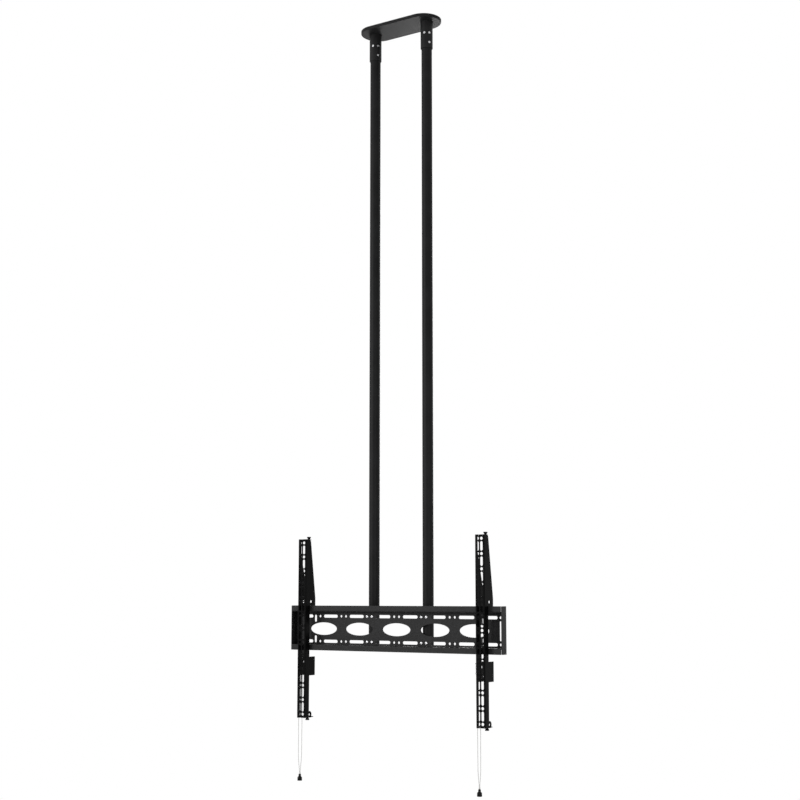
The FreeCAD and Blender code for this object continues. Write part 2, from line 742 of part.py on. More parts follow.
def guide_rivets(x):
    """Two shouldered rivets, set in the arm's flange, on which the latch plate slides."""
    rivets = []
    radius = rivet_diameter / 2
    for point in rivet_points(x):
        head_seat = vec(x + latch_outside - latch_clearance, point.y, point.z)
        inner_face = point + vec(arm_sheet, 0, 0)
        shank = rod(radius, head_seat, inner_face)
        head = rod(rivet_head_diameter / 2, head_seat, head_seat - vec(rivet_head_height, 0, 0))
        crown = [edge for edge in head.Edges if edge.BoundBox.XMax < head_seat.x - rivet_head_height + 1e-6]
        head = head.makeFillet(rivet_head_height * rivet_head_crown_share, crown)
        tail = rod(rivet_tail_diameter / 2, inner_face, inner_face + vec(rivet_head_height, 0, 0))
        rivets.append(shank.fuse([head, tail]).removeSplitter())
    return Part.makeCompound(rivets)


def spring_line_x(x):
    return x + latch_outside - spring_side_gap - spring_diameter / 2


def spring_post_points(x):
    """The fixed post enters the arm's flange, and the moving one the latch plate's outer face."""
    fixed = vec(x + flange_outside, arm_front + spring_place, tab_top - spring_top_drop)
    moving = vec(x + latch_outside, arm_front + spring_place, tab_top - spring_bottom_drop)
    return [fixed, moving]


def spring_post(point, sheet, x):
    """A headed post that carries one end of the spring."""
    radius = post_diameter / 2
    head_seat = vec(spring_line_x(x) - spring_diameter / 2, point.y, point.z)
    shank = rod(radius, point + vec(sheet, 0, 0), head_seat)
    head = rod(post_head_diameter / 2, head_seat, head_seat - vec(post_head_height, 0, 0))
    collar_end = vec(spring_line_x(x) + spring_wire, point.y, point.z)
    collar = rod(post_head_diameter / 2, point, collar_end)
    return shank.fuse([head, collar]).removeSplitter()


def latch_spring(x):
    """A coil between two straight hooks' rings, each ring round its own post."""
    fixed, moving = spring_post_points(x)
    line_x = spring_line_x(x)
    ring_radius = post_diameter / 2 + post_clearance + spring_wire / 2
    top = fixed.z - ring_radius
    bottom = moving.z + ring_radius
    coil_radius = (spring_diameter - spring_wire) / 2
    coil_top = top - spring_hook_length
    coil_bottom = bottom + spring_hook_length
    pitch = (coil_top - coil_bottom) / spring_turns
    helix = Part.makeHelix(pitch, coil_top - coil_bottom, coil_radius)
    helix.translate(vec(line_x, fixed.y, coil_bottom))
    start = vec(line_x + coil_radius, fixed.y, coil_bottom)
    heading = vec(0, 1, pitch / (2 * math.pi * coil_radius))
    section = Part.Wire(Part.Circle(start, heading, spring_wire / 2).toShape())
    coil = Part.Wire(helix.Edges).makePipeShell([section], True, True)
    for ring_z, coil_z, away in ((fixed.z, coil_top, 1), (moving.z, coil_bottom, -1)):
        ring = Part.makeTorus(ring_radius, spring_wire / 2, vec(line_x, fixed.y, ring_z), vec(1, 0, 0))
        near = ring_z - away * (ring_radius - spring_hook_overlap)
        stem_radius = spring_wire / 2 * spring_stem_share
        stem = rod(stem_radius, vec(line_x, fixed.y, coil_z), vec(line_x, fixed.y, near))
        bridge_start = line_x + coil_radius + spring_wire * spring_bridge_coil_share
        bridge_end = line_x - spring_wire * spring_bridge_stem_share
        bridge = rod(spring_wire / 2, vec(bridge_start, fixed.y, coil_z), vec(bridge_end, fixed.y, coil_z))
        hook = bridge.fuse(stem).fuse(ring)
        coil = coil.fuse(hook)
    return coil


def bobbin_point(x):
    """The middle of the bobbin's seat on the latch plate's outer face."""
    return vec(x + latch_outside, arm_front + bobbin_depth, tab_top - bobbin_drop)


def cord_bobbin(x):
    seat = bobbin_point(x)
    out = vec(-1, 0, 0)
    groove_start = seat + out * bobbin_flange
    groove_end = groove_start + out * bobbin_groove_width
    shank = rod(bobbin_shank / 2, seat + vec(latch_sheet, 0, 0), seat)
    inner = rod(bobbin_flange_diameter / 2, seat, groove_start)
    core = rod(bobbin_groove_diameter / 2, groove_start, groove_end)
    outer = rod(bobbin_flange_diameter / 2, groove_end, groove_end + out * bobbin_flange)
    return shank.fuse([inner, core, outer]).removeSplitter()


def cord_plane_x(x):
    return x + latch_outside - bobbin_flange - bobbin_groove_width / 2


def cord_radius_at_bobbin():
    return (bobbin_groove_diameter + cord_diameter) / 2 + cord_seat_clearance


def cord_strand_points(x, side):
    """One side of the loop: from the bobbin straight down, then in to the knot."""
    seat = bobbin_point(x)
    plane = cord_plane_x(x)
    reach = cord_radius_at_bobbin()
    points = [vec(plane, seat.y + side * reach, seat.z),
              vec(plane, seat.y + side * reach, -rail_middle_drop + cord_straight_end)]
    for out, height in cord_closing_points:
        points.append(vec(plane, seat.y + side * out, -rail_middle_drop + height))
    return points


def cord_strand_edges(points, radii):
    """Straight runs joined by tangent arcs, going on a little past the last point."""
    edges = []
    here = points[0]
    for index in range(1, len(points) - 1):
        corner = points[index]
        back = points[index - 1] - corner
        ahead = points[index + 1] - corner
        half = back.getAngle(ahead) / 2
        reach = cord_bend_share * min(back.Length, ahead.Length)
        radius = reach * math.tan(half)
        radii.append(round(radius, 1))
        back.normalize()
        ahead.normalize()
        centre = corner + (back + ahead).normalize() * (radius / math.sin(half))
        bend_start = corner + back * reach
        bend_end = corner + ahead * reach
        bend_middle = centre + (corner - centre).normalize() * radius
        edges.append(Part.LineSegment(here, bend_start).toShape())
        edges.append(Part.Arc(bend_start, bend_middle, bend_end).toShape())
        here = bend_end
    last = points[-1] + (points[-1] - here).normalize() * cord_diameter
    edges.append(Part.LineSegment(here, last).toShape())
    return edges


def pull_cord(x, report):
    """One cord, looped over the bobbin, whose two ends meet in the knot."""
    seat = bobbin_point(x)
    radii = []
    front = cord_strand_points(x, -1)
    rear = cord_strand_points(x, 1)
    highest = vec(cord_plane_x(x), seat.y, seat.z + cord_radius_at_bobbin())
    over = Part.Arc(front[0], highest, rear[0]).toShape()
    front_edges = cord_strand_edges(front, radii)
    edges = front_edges[::-1] + [over] + cord_strand_edges(rear, radii)
    path = Part.Wire(edges)
    end = front_edges[-1].valueAt(front_edges[-1].LastParameter)
    along = front_edges[-1].tangentAt(front_edges[-1].LastParameter)
    section = Part.Wire(Part.Circle(end, along, cord_diameter / 2).toShape())
    tube = path.makePipeShell([section], True, False)
    top = knot_top(x)
    below = 2 * cord_radius_at_bobbin()
    tube = tube.cut(box(top.x - below, top.x + below, top.y - below, top.y + below, top.z - below, top.z))
    if report:
        length = path.Length - 2 * cord_diameter
        swept = math.pi * (cord_diameter / 2) ** 2 * length
        print("cord radii", [round(cord_radius_at_bobbin(), 1)] + radii)
        print("cord length", round(length, 1))
        print("cord volume over section times length", round(tube.Volume / swept, 4))
    return tube


def knot_top(x):
    seat = bobbin_point(x)
    return vec(cord_plane_x(x), seat.y, -rail_middle_drop + cord_closing_points[-1][1])


def cord_knot(x):
    """A small barrel of knotted cord between the loop and the pull."""
    top = knot_top(x)
    radius = knot_diameter / 2
    flat = radius * knot_end_share
    down = vec(0, 0, -1)
    side = vec(1, 0, 0)
    bulge = Part.Arc(top + side * flat, top + side * radius + down * (knot_height / 2),
                     top + side * flat + down * knot_height).toShape()
    foot = top + down * knot_height
    edges = [Part.LineSegment(top, top + side * flat).toShape(), bulge,
             Part.LineSegment(foot + side * flat, foot).toShape(), Part.LineSegment(foot, top).toShape()]
    return Part.Face(Part.Wire(edges)).revolve(top, vec(0, 0, 1), 360)


def cord_pull(x):
    """A bell with a straight neck, a full skirt and a shallow recess in its mouth."""
    top = knot_top(x) - vec(0, 0, knot_height)
    down = vec(0, 0, -1)
    side = vec(1, 0, 0)
    neck = pull_neck_diameter / 2
    shoulder = pull_shoulder_diameter / 2
    mouth_radius = pull_mouth_diameter / 2
    profile = [(0, 0, 0), (neck, 0, pull_rounding), (neck, pull_neck_height, pull_rounding),
               (shoulder, pull_shoulder_height, pull_rounding), (mouth_radius, pull_height, pull_lip),
               (0, pull_height, 0)]
    body = turned(profile, top, down, side)
    mouth = top + down * (pull_height + 1)
    recess = rod(pull_recess_diameter / 2, mouth, mouth - down * (pull_recess_depth + 1))
    return body.cut(recess)


def build():
    parts = {"ceiling_plate": ceiling_plate(), "ceiling_cover": ceiling_cover(), "rail_plate": rail_plate()}
    for name, x in pole_places.items():
        parts["socket_" + name] = socket(x)
        parts["set_screws_" + name] = set_screws(x)
        parts["pole_" + name] = pole(x)
        parts["pole_plug_" + name] = pole_plug(x)
        parts["rail_bolts_" + name] = rail_bolts(x)
        parts["saddle_upper_" + name] = saddle(x, 1)
        parts["saddle_lower_" + name] = saddle(x, -1)
    for name, x in arm_places.items():
        fixed_post, moving_post = spring_post_points(x)
        parts["arm_" + name] = arm(x)
        parts["buffer_top_" + name] = end_buffer(x, arm_top, 1)
        parts["buffer_foot_" + name] = end_buffer(x, arm_bottom, -1)
        parts["guide_rivets_" + name] = guide_rivets(x)
        parts["spring_post_fixed_" + name] = spring_post(fixed_post, arm_sheet, x)
        parts["latch_plate_" + name] = latch_plate(x)
        parts["spring_post_moving_" + name] = spring_post(moving_post, latch_sheet, x)
        parts["latch_spring_" + name] = latch_spring(x)
        parts["cord_bobbin_" + name] = cord_bobbin(x)
        parts["pull_cord_" + name] = pull_cord(x, name == "left")
        parts["cord_knot_" + name] = cord_knot(x)
        parts["cord_pull_" + name] = cord_pull(x)
    return parts


def main():
    os.makedirs("parts", exist_ok=True)
    for name, shape in build().items():
        shape.exportStep("parts/" + name + ".step")
        print(name, "solids", len(shape.Solids), "valid", shape.isValid(), "volume", round(shape.Volume, 1))


main()
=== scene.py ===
import json
import math

import bpy
from mathutils import Matrix, Vector


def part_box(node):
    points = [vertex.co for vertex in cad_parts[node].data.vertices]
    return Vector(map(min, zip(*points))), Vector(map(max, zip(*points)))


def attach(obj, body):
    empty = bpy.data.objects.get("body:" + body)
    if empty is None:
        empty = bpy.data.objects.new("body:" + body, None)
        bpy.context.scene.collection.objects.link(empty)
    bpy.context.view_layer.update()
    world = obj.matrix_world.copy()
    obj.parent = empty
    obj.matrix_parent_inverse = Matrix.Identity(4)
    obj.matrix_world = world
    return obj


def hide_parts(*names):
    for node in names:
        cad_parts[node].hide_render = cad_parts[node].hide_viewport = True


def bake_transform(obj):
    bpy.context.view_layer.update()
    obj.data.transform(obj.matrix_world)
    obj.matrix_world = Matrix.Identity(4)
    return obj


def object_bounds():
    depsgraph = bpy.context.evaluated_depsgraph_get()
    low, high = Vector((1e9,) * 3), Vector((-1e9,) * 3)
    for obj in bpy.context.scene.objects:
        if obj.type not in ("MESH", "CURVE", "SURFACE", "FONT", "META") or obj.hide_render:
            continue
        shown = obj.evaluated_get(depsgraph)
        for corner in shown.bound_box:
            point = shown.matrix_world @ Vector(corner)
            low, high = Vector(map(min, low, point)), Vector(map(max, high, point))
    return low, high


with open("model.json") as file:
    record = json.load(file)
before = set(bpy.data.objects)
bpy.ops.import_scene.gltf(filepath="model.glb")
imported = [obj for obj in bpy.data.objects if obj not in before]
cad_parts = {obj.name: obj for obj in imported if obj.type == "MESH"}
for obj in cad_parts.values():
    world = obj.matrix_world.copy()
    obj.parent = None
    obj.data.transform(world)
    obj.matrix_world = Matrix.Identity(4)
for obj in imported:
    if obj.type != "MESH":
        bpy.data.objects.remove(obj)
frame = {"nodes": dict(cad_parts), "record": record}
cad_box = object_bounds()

SIDES = ("left", "right")

# The camera stands to the right of the mount and a little above the rail, and looks slightly up.
# It was fitted to the corners of the plate, rail and arms in the photograph.
CAMERA_AZIMUTH = math.radians(33.3)
CAMERA_PITCH = math.radians(8.0)
CAMERA_DISTANCE = 4.955
CAMERA_AIM_ALONG = -0.003
CAMERA_AIM_HEIGHT = -1.388
CAMERA_SENSOR = 36.0
CAMERA_LENS = 63.0
CAMERA_REACH = 200.0

# Sockets of a colour Mix node, which share their names with its other kinds
MIX_FACTOR = 0
MIX_FIRST_COLOUR = 6
MIX_SECOND_COLOUR = 7
MIX_COLOUR = 2

# Sharp edges, found by how far a rounded surface direction leans from the flat one
BEVEL_SAMPLES = 4
EDGE_LEAN = (0.02, 0.25)

# Powder paint. A painted highlight makes it a little paler on a sharp edge, and its dust specks take the
# same paler grey.
PAINT_EDGE_RADIUS = 0.0007
PAINT_SPECK_AND_HIGHLIGHT_LIFT = 0.012
PAINT_EDGE_HIGHLIGHT_SHARE = 0.6
SATIN_DRIFT_SIZE = 0.07
SATIN_DUST_SIZE = 0.0016
SATIN_RELIEF = 0.00012
SAND_DRIFT_SIZE = 0.09
SAND_MOTTLE_SIZE = 0.005
SAND_RELIEF = 0.00025

# Zinc plating
PLATING_CLOUD_SIZE = 0.004
PLATING_LINE_SIZE = 0.0004
PLATING_RELIEF = 0.00003
PLATING_EDGE_RADIUS = 0.0003

# Moulded plastic and rubber
MOULDED_DRIFT_SIZE = 0.008
MOULDED_EDGE_RADIUS = 0.0004
MOULDED_EDGE_SHARE = 0.35

# Room. The floor shows part of the mount's shadow near it and turns white with distance.
FLOOR_BELOW = 0.55
FLOOR_HALF = 40.0
FLOOR_GREY = 0.9
FLOOR_SHADOW_SHARE = 0.4
FLOOR_SHADOW_NEAR = 0.6
FLOOR_SHADOW_FAR = 2.2
BACKGROUND_WHITE = 1.0
ROOM_LIGHT = 0.55

# Studio lamps: name, place, width and height, and power in watts
LAMPS = (
    ("key", (-2.2, -3.6, -0.6), (1.6, 2.4), 110.0),
    ("fill", (3.4, -2.4, -2.2), (1.8, 2.0), 36.0),
    ("rim", (-1.2, 3.2, -0.8), (1.4, 2.4), 60.0),
)
LAMP_AIM = (0.0, 0.0, -1.6)

# Pull cords, with the route's points from the part's source, each as its distance from the loop's
# middle line and its height. Their two ends go 3 mm on into the knot.
CORD_DIAMETER = 0.0022
CORD_LENGTH = 0.732
CORD_ENDS = ((0.0012, -2.6927), (0.0029, -2.678), (0.0066, -2.658))
CORD_STRAIGHT_END = -2.63
CORD_BEND_POINT_DROP = 0.0195
CORD_SEAT_RADIUS = 0.0097
CORD_STEPS_PER_SPAN = 16
CORD_ROUNDNESS = 5

# Braid of the cords
STRANDS_PER_METRE = 360.0
STRANDS_ROUND_CORD = 4.0
FIBRE_SIZE = 0.0003
HANDLED_SIZE = 0.03
BRAID_RELIEF = 0.00012
BRAID_CLEAN = (0.72, 0.72, 0.71, 1.0)
BRAID_HANDLED = (0.60, 0.59, 0.58, 1.0)
BRAID_SHADOW = (0.30, 0.30, 0.29, 1.0)

# Knots: the cord's end wrapped round its two strands, a little narrower at both ends.
# The heights and widths of the core are shares of the knot's height and radius.
KNOT_TURNS = 2.5
KNOT_CORD_DIAMETER = 0.00172
KNOT_POINTS_PER_TURN = 18
KNOT_WRAP_SIDES = 12
KNOT_BARREL = 0.12
KNOT_CORE_SIDES = 20
KNOT_CORE_HEIGHTS = (0.04, 0.12, 0.3, 0.5, 0.7, 0.88, 0.96)
KNOT_CORE_WIDTHS = (0.3, 0.62, 0.78, 0.82, 0.78, 0.62, 0.3)

# Latch springs, wound from one wire with a round hook at each end
SPRING_WIRE = 0.0009
SPRING_DIAMETER = 0.0056
SPRING_TURNS = 20
SPRING_HOOK_RADIUS = 0.00205
SPRING_HOOK_OPENING = math.radians(40)
SPRING_NECK = 0.002
SPRING_POINTS_PER_TURN = 20
SPRING_WIRE_SIDES = 8

# Weld beads, laid as overlapping drops. Those of the saddles stand out of their corners a little.
WELD_RADIUS = 0.0022
WELD_DROP_STEP = 0.0021
WELD_SWELL = 0.16
WELD_POINTS_PER_DROP = 6
WELD_SIDES = 10
PLATE_WELD_RADIUS = 0.0028
SADDLE_WELD_OUT = WELD_RADIUS / 3


def body_name(group, side):
    return group + "_" + side


class Value:
    """A number that varies over a surface. Arithmetic on it adds Math nodes."""

    def __init__(self, nodes, socket):
        self.nodes = nodes
        self.socket = socket

    def __add__(self, other):
        return self.nodes.maths("ADD", self, other)

    def __radd__(self, other):
        return self.nodes.maths("ADD", other, self)

    def __sub__(self, other):
        return self.nodes.maths("SUBTRACT", self, other)

    def __rsub__(self, other):
        return self.nodes.maths("SUBTRACT", other, self)

    def __mul__(self, other):
        return self.nodes.maths("MULTIPLY", self, other)

    def __rmul__(self, other):
        return self.nodes.maths("MULTIPLY", other, self)

    def larger(self, other):
        return self.nodes.maths("MAXIMUM", self, other)

    def wave(self):
        """A sine of the value, where one is a whole wave."""
        return self.nodes.maths("SINE", self * (2 * math.pi))

    def limited(self):
        """The value, held between zero and one."""
        return self.nodes.maths("ADD", self, 0.0, clamp=True)

    def rise(self, start, end):
        """Zero up to the start, one from the end on, and a smooth rise between them."""
        settings = {"interpolation_type": "SMOOTHSTEP"}
        sockets = {"Value": self, "From Min": start, "From Max": end}
        return Value(self.nodes, self.nodes.node("ShaderNodeMapRange", settings, sockets).outputs[0])


class Nodes:
    """A node tree in the making."""

    def __init__(self, tree):
        self.tree = tree
        tree.nodes.clear()

    def node(self, kind, settings, sockets):
        """Adds a node: its settings first, then the values or links of its sockets."""
        node = self.tree.nodes.new(kind)
        for name, setting in settings.items():
            setattr(node, name, setting)
        for name, value in sockets.items():
            self.feed(node.inputs[name], value)
        return node

    def feed(self, socket, value):
        if isinstance(value, Value):
            value = value.socket
        if isinstance(value, bpy.types.NodeSocket):
            self.tree.links.new(value, socket)
        else:
            socket.default_value = value

    def maths(self, operation, *values, clamp=False):
        settings = {"operation": operation, "use_clamp": clamp}
        return Value(self, self.node("ShaderNodeMath", settings, dict(enumerate(values))).outputs[0])

    def place(self):
        """Where a point of the surface is, in metres, in the piece's own frame."""
        return self.node("ShaderNodeTexCoord", {}, {}).outputs["Object"]

    def stretched(self, scale):
        """The surface's place with each axis scaled, so that a pattern can run along the piece."""
        sockets = {0: self.place(), 1: scale}
        return self.node("ShaderNodeVectorMath", {"operation": "MULTIPLY"}, sockets).outputs[0]

    def noise(self, size, detail=2.0, roughness=0.5, vector=None):
        """Soft noise from 0 to 1 whose blobs are about the given size in metres."""
        sockets = {"Scale": 1.0 / size, "Detail": detail, "Roughness": roughness}
        sockets["Vector"] = vector or self.place()
        return Value(self, self.node("ShaderNodeTexNoise", {}, sockets).outputs[0])

    def cells(self, size):
        """The distance to the middle of the nearest cell, for pits and grains."""
        sockets = {"Vector": self.place(), "Scale": 1.0 / size}
        return Value(self, self.node("ShaderNodeTexVoronoi", {}, sockets).outputs["Distance"])

    def between(self, factor, first, second):
        """A colour between two others."""
        sockets = {MIX_FACTOR: factor, MIX_FIRST_COLOUR: first, MIX_SECOND_COLOUR: second}
        return self.node("ShaderNodeMix", {"data_type": "RGBA"}, sockets).outputs[MIX_COLOUR]

    def white_glow(self, strength):
        sockets = {"Color": (1.0, 1.0, 1.0, 1.0), "Strength": strength}
        return self.node("ShaderNodeEmission", {}, sockets).outputs[0]

    def seen_directly(self):
        """One for rays from the camera, a reflection or glass, and zero for light on the object."""
        path = self.node("ShaderNodeLightPath", {}, {})
        seen = Value(self, path.outputs["Is Camera Ray"])
        return seen.larger(path.outputs["Is Glossy Ray"]).larger(path.outputs["Is Transmission Ray"])


class Finish(Nodes):
    """A material in the making: one Principled shader and the nodes that feed it."""

    def __init__(self, name, constants):
        self.material = bpy.data.materials.new(name)
        self.material.use_nodes = True
        super().__init__(self.material.node_tree)
        self.shader = self.node("ShaderNodeBsdfPrincipled", {}, constants)
        self.node("ShaderNodeOutputMaterial", {}, {"Surface": self.shader.outputs[0]})

    def rounded_normal(self, radius):
        """A surface direction that rounds off sharp edges."""
        return self.node("ShaderNodeBevel", {"samples": BEVEL_SAMPLES}, {"Radius": radius}).outputs[0]

    def edges(self, rounded):
        """One at sharp edges and zero on flats, from how far the rounded direction leans."""
        flat = self.node("ShaderNodeNewGeometry", {}, {}).outputs["Normal"]
        lean = self.node("ShaderNodeVectorMath", {"operation": "DOT_PRODUCT"}, {0: rounded, 1: flat})
        return (1.0 - Value(self, lean.outputs["Value"])).rise(*EDGE_LEAN)

    def bump(self, height, depth, normal=None):
        sockets = {"Height": height, "Distance": depth, "Strength": 1.0}
        if normal is not None:
            sockets["Normal"] = normal
        return self.node("ShaderNodeBump", {}, sockets).outputs[0]

    def surface(self, **inputs):
        """Feeds what varies into the shader's sockets."""
        for name, value in inputs.items():
            self.feed(self.shader.inputs[name.replace("_", " ")], value)
        return self.material


def grey(level, tint=0.0):
    return (level, level, level * (1.0 + tint), 1.0)


def satin_coat(name, level, rough, specular, peel):
    """Smooth powder paint: low orange-peel waves of the peel's size, with a few specks of dust and a
    painted highlight along sharp edges.
    """
    finish = Finish(name, {"Metallic": 0.0, "Specular IOR Level": specular})
    drift = finish.noise(SATIN_DRIFT_SIZE, detail=3.0)
    waves = finish.noise(peel, detail=1.5)
    pores = finish.noise(peel * 0.2, detail=2.0)
    specks = finish.noise(SATIN_DUST_SIZE, detail=1.0).rise(0.66, 0.76)
    rounded = finish.rounded_normal(PAINT_EDGE_RADIUS)
    shade = (drift * 0.6 + waves * 0.4).rise(0.3, 0.7)
    body = finish.between(shade, grey(level * 0.7, 0.02), grey(level * 1.3, 0.03))
    dusty = finish.between(specks * 0.3, body, grey(level + PAINT_SPECK_AND_HIGHLIGHT_LIFT, 0.02))
    # Painted highlight: sharp edges are lifted to a paler grey.
    edges = finish.edges(rounded) * PAINT_EDGE_HIGHLIGHT_SHARE
    colour = finish.between(edges, dusty, grey(level + PAINT_SPECK_AND_HIGHLIGHT_LIFT, 0.03))
    normal = finish.bump(waves * 0.8 + pores * 0.2, SATIN_RELIEF, rounded)
    roughness = rough + (drift - 0.5) * 0.16 + (waves - 0.5) * 0.12
    return finish.surface(Base_Color=colour, Roughness=roughness, Normal=normal)


def sand_coat(name, level, rough, specular, grain, mottling):
    """Textured powder paint: a sandy skin of fine grains with a painted highlight on top of each, over a
    mottled ground, and a painted highlight along sharp edges.
    """
    finish = Finish(name, {"Metallic": 0.0, "Specular IOR Level": specular})
    drift = finish.noise(SAND_DRIFT_SIZE, detail=2.0)
    mottle = finish.noise(SAND_MOTTLE_SIZE, detail=3.0, roughness=0.65)
    grains = finish.noise(grain, detail=2.0, roughness=0.6)
    pits = finish.cells(grain * 2.2)
    # Painted highlight: the high parts of the grains are paler.
    grain_top_highlight = grains.rise(0.52, 0.66)
    rounded = finish.rounded_normal(PAINT_EDGE_RADIUS)
    shade = ((drift - 0.5) * 0.5 + (mottle - 0.5) * mottling + 0.5).limited()
    body = finish.between(shade, grey(level * 0.4, 0.02), grey(level * 1.5, 0.02))
    top_highlighted = finish.between(grain_top_highlight * 0.55, body, grey(level * 2.6, 0.03))
    # Painted highlight along sharp edges.
    edges = finish.edges(rounded) * PAINT_EDGE_HIGHLIGHT_SHARE
    colour = finish.between(edges, top_highlighted, grey(level + PAINT_SPECK_AND_HIGHLIGHT_LIFT, 0.03))
    normal = finish.bump(grains * 0.7 + pits * 0.3, SAND_RELIEF, rounded)
    roughness = rough + (grains - 0.5) * 0.25 + (drift - 0.5) * 0.1
    return finish.surface(Base_Color=colour, Roughness=roughness, Normal=normal)


def plated_steel(name, level, rough, brush):
    """Zinc-plated steel with clouded patches and a faint grain.

    The brush scales the grain along each axis, and a small number draws it out.
    """
    finish = Finish(name, {"Metallic": 1.0})
    clouds = finish.noise(PLATING_CLOUD_SIZE, detail=4.0)
    lines = finish.noise(PLATING_LINE_SIZE, detail=2.0, vector=finish.stretched(brush))
    colour = finish.between(clouds, grey(level * 0.8, 0.03), grey(level * 1.05))
    normal = finish.bump(lines, PLATING_RELIEF, finish.rounded_normal(PLATING_EDGE_RADIUS))
    roughness = rough + clouds * 0.15 + (lines - 0.5) * 0.12
    return finish.surface(Base_Color=colour, Roughness=roughness, Normal=normal)


def moulded(name, level, rough, specular, pebble, relief):
    """Moulded plastic or rubber with a fine eroded skin, paler at its sharp edges."""
    finish = Finish(name, {"Metallic": 0.0, "Specular IOR Level": specular})
    drift = finish.noise(MOULDED_DRIFT_SIZE, detail=3.0)
    skin = finish.noise(pebble, detail=2.0)
    rounded = finish.rounded_normal(MOULDED_EDGE_RADIUS)
    body = finish.between(drift, grey(level * 0.7), grey(level * 1.3, 0.02))
    edges = finish.edges(rounded) * MOULDED_EDGE_SHARE
    colour = finish.between(edges, body, grey(level * 2.5, 0.02))
    roughness = rough + (drift - 0.5) * 0.2
    normal = finish.bump(skin, relief, rounded)
    return finish.surface(Base_Color=colour, Roughness=roughness, Normal=normal)


def braid(name, hanging):
    """White braided cord: two sets of strands that cross, with soft shadow between them.

    Strands are counted down the height of a hanging cord, and along the texture map of a wound one.
    """
    finish = Finish(name, {"Metallic": 0.0, "Sheen Weight": 0.25, "Specular IOR Level": 0.25})
    uv = finish.node("ShaderNodeTexCoord", {}, {}).outputs["UV"]
    split = finish.node("ShaderNodeSeparateXYZ", {}, {"Vector": uv})
    if hanging:
        heights = finish.node("ShaderNodeSeparateXYZ", {}, {"Vector": finish.place()})
        run = Value(finish, heights.outputs[2])
    else:
        run = Value(finish, split.outputs[0]) * CORD_LENGTH
    along = run * STRANDS_PER_METRE
    around = Value(finish, split.outputs[1]) * STRANDS_ROUND_CORD
    weave = (along + around).wave().larger((along - around).wave()) * 0.5 + 0.5
    fibre = finish.noise(FIBRE_SIZE, detail=3.0)
    handled = finish.noise(HANDLED_SIZE, detail=2.0)
    light = finish.between(handled, BRAID_HANDLED, BRAID_CLEAN)
    colour = finish.between((weave * 0.8 + fibre * 0.2).limited(), BRAID_SHADOW, light)
    roughness = 0.75 + fibre * 0.15
    normal = finish.bump(weave + fibre * 0.4, BRAID_RELIEF)
    return finish.surface(Base_Color=colour, Roughness=roughness, Normal=normal)


def finishes():
    """One material for each slot of the record, and one more for the knots."""
    return {
        "plate_paint": satin_coat("plate powder coat", 0.012, rough=0.46, specular=0.10, peel=0.0022),
        "cover_paint": satin_coat("cover powder coat", 0.014, rough=0.46, specular=0.05, peel=0.0024),
        "pole_paint": satin_coat("pole powder coat", 0.009, rough=0.48, specular=0.08, peel=0.0020),
        "rail_paint": sand_coat("rail powder coat", 0.012, rough=0.50, specular=0.15,
                                grain=0.0010, mottling=2.4),
        "arm_paint": satin_coat("arm powder coat", 0.0018, rough=0.42, specular=0.035, peel=0.0018),
        "latch_paint": satin_coat("latch powder coat", 0.008, rough=0.44, specular=0.12, peel=0.0018),
        "fastener_zinc": plated_steel("bright zinc", 0.66, rough=0.22, brush=(1.0, 0.1, 1.0)),
        "rivet_steel": plated_steel("rivet zinc", 0.55, rough=0.28, brush=(0.1, 1.0, 1.0)),
        "spring_steel": plated_steel("spring wire", 0.48, rough=0.26, brush=(1.0, 1.0, 0.2)),
        "plug_plastic": moulded("plug plastic", 0.012, rough=0.55, specular=0.3,
                                pebble=0.0005, relief=0.00004),
        "bobbin_plastic": moulded("bobbin plastic", 0.014, rough=0.45, specular=0.3,
                                  pebble=0.0005, relief=0.00003),
        "pull_plastic": moulded("pull plastic", 0.0025, rough=0.34, specular=0.10,
                                pebble=0.0009, relief=0.00002),
        "buffer_rubber": moulded("buffer rubber", 0.004, rough=0.66, specular=0.08,
                                 pebble=0.0004, relief=0.00004),
        "cord_fibre": braid("braided cord", hanging=True),
        "knot_fibre": braid("wound braided cord", hanging=False),
    }


def dress_cad_nodes(materials):
    """Gives each CAD node the finish of its slot in the record."""
    for part in frame["record"]["subparts"]:
        node = frame["nodes"][part["node"]]
        node.data.materials.clear()
        node.data.materials.append(materials[part["material_slot"]])


def add_object(name, data, material, body):
    """Links a new piece to the scene, gives it its finish and lets it ride on a body."""
    piece = bpy.data.objects.new(name, data)
    bpy.context.scene.collection.objects.link(piece)
    data.materials.append(material)
    if body:
        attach(piece, body)
    return piece


def tube_mesh(name, path, radii, sides, closed=False):
    """A round tube along a path, with a radius for each point.

    Its texture map runs along the tube, where one is the length of a pull cord, and round it.
    """
    mesh = bpy.data.meshes.new(name)
    count = len(path)
    side = None
    vertices = []
    run = [0.0]
    for index, point in enumerate(path):
        before = path[index - 1] if closed or index > 0 else point
        after = path[(index + 1) % count] if closed or index < count - 1 else point
        along = (after - before).normalized()
        if side is None:
            side = along.orthogonal()
        side = (side - along * side.dot(along)).normalized()
        other = along.cross(side)
        for step in range(sides):
            angle = 2 * math.pi * step / sides
            vertices.append(point + (side * math.cos(angle) + other * math.sin(angle)) * radii[index])
        run.append(run[-1] + (path[(index + 1) % count] - point).length)
    faces = []
    corners = []
    for index in range(count if closed else count - 1):
        following = (index + 1) % count
        for step in range(sides):
            beside = (step + 1) % sides
            faces.append((index * sides + step, index * sides + beside,
                          following * sides + beside, following * sides + step))
            corners += [(run[index], step / sides), (run[index], (step + 1) / sides),
                        (run[index + 1], (step + 1) / sides), (run[index + 1], step / sides)]
    if not closed:
        faces.append(tuple(reversed(range(sides))))
        faces.append(tuple(range((count - 1) * sides, count * sides)))
        corners += [(0.0, 0.0)] * (2 * sides)
    mesh.from_pydata(vertices, [], faces)
    layer = mesh.uv_layers.new(name="UVMap")
    for loop, corner in zip(layer.data, corners):
        loop.uv = (corner[0] / CORD_LENGTH, corner[1])
    mesh.shade_smooth()
    return mesh


